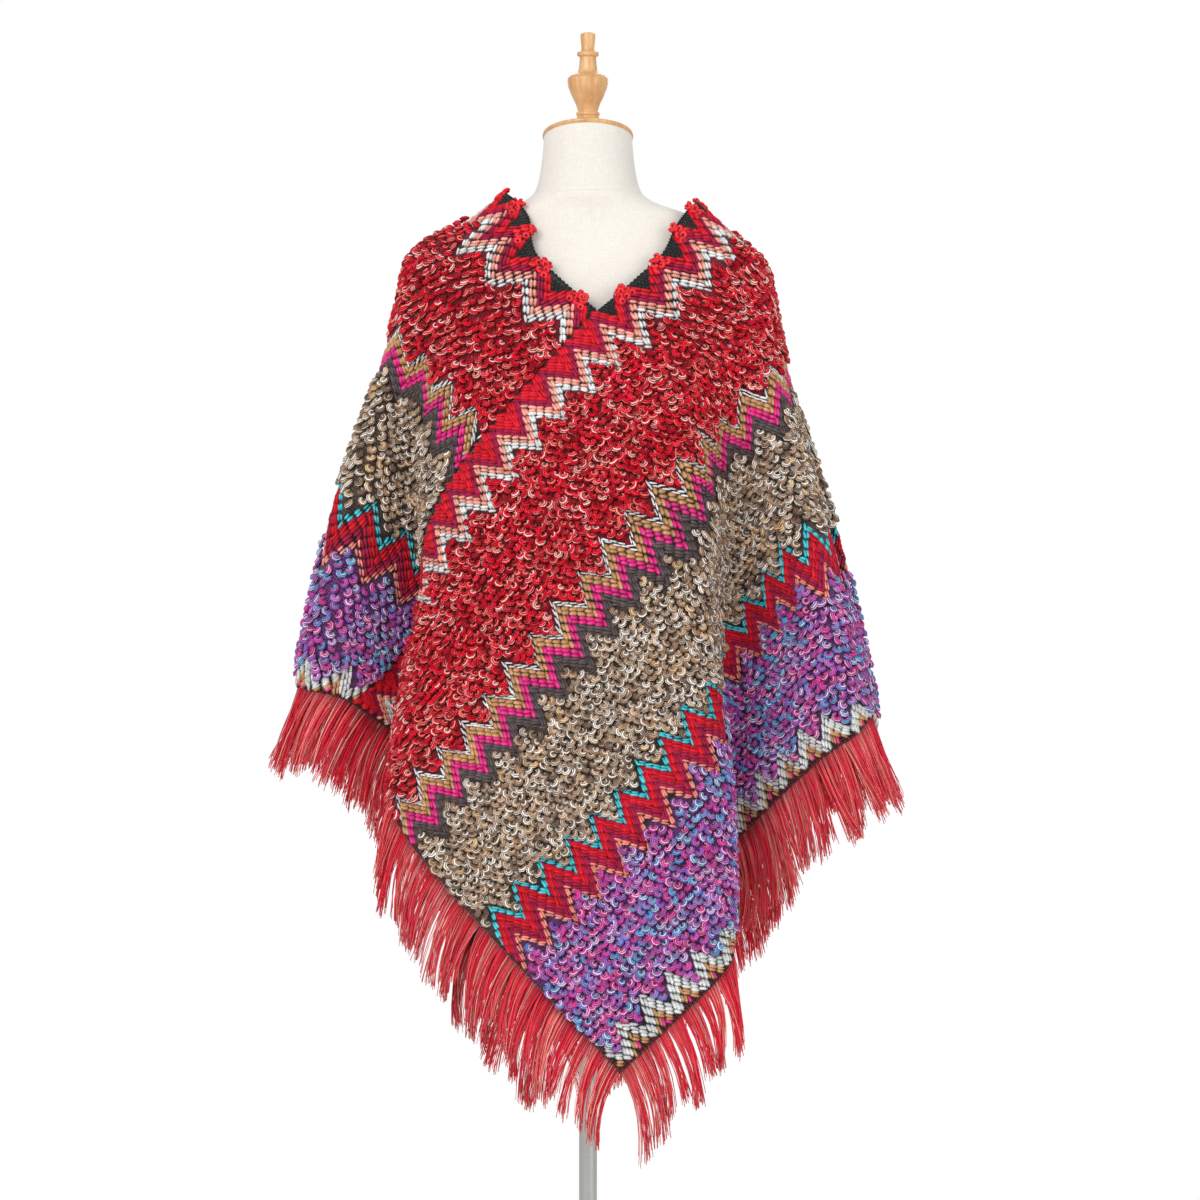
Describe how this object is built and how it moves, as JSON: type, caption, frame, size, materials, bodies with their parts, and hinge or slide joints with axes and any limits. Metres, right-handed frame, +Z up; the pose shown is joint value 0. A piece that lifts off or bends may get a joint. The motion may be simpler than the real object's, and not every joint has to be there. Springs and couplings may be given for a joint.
{
  "type": "knitted poncho on a dress form",
  "caption": "Striped looped-knit poncho with a V neck and fringed pointed hems, worn on a limbless dress form with a turned cap and a steel stand.",
  "frame": {"origin": "centre of the underside of the stand's base, on the floor", "axes": "+Z up along the pole, the front of the garment faces -Y, +X is to the right as seen from the front"},
  "size_m": [0.6728, 0.3398, 1.6],
  "materials": {
    "knit": "looped and zigzag knit in red, taupe and violet stripes",
    "fringe": "fine loose yarn in red and salmon",
    "linen": "cream woven cover, stretched smooth",
    "wood": "turned light wood, satin",
    "steel": "brushed steel"
  },
  "bodies": {
    "root": {"front_panel": "knit", "back_panel": "knit", "fringe_front_long": "fringe", "fringe_front_end": "fringe", "fringe_back_long": "fringe", "fringe_back_end": "fringe", "torso": "linen", "neck_cap": "wood", "finial": "wood", "pole": "steel", "base_plate": "steel"}
  },
  "joints": []
}
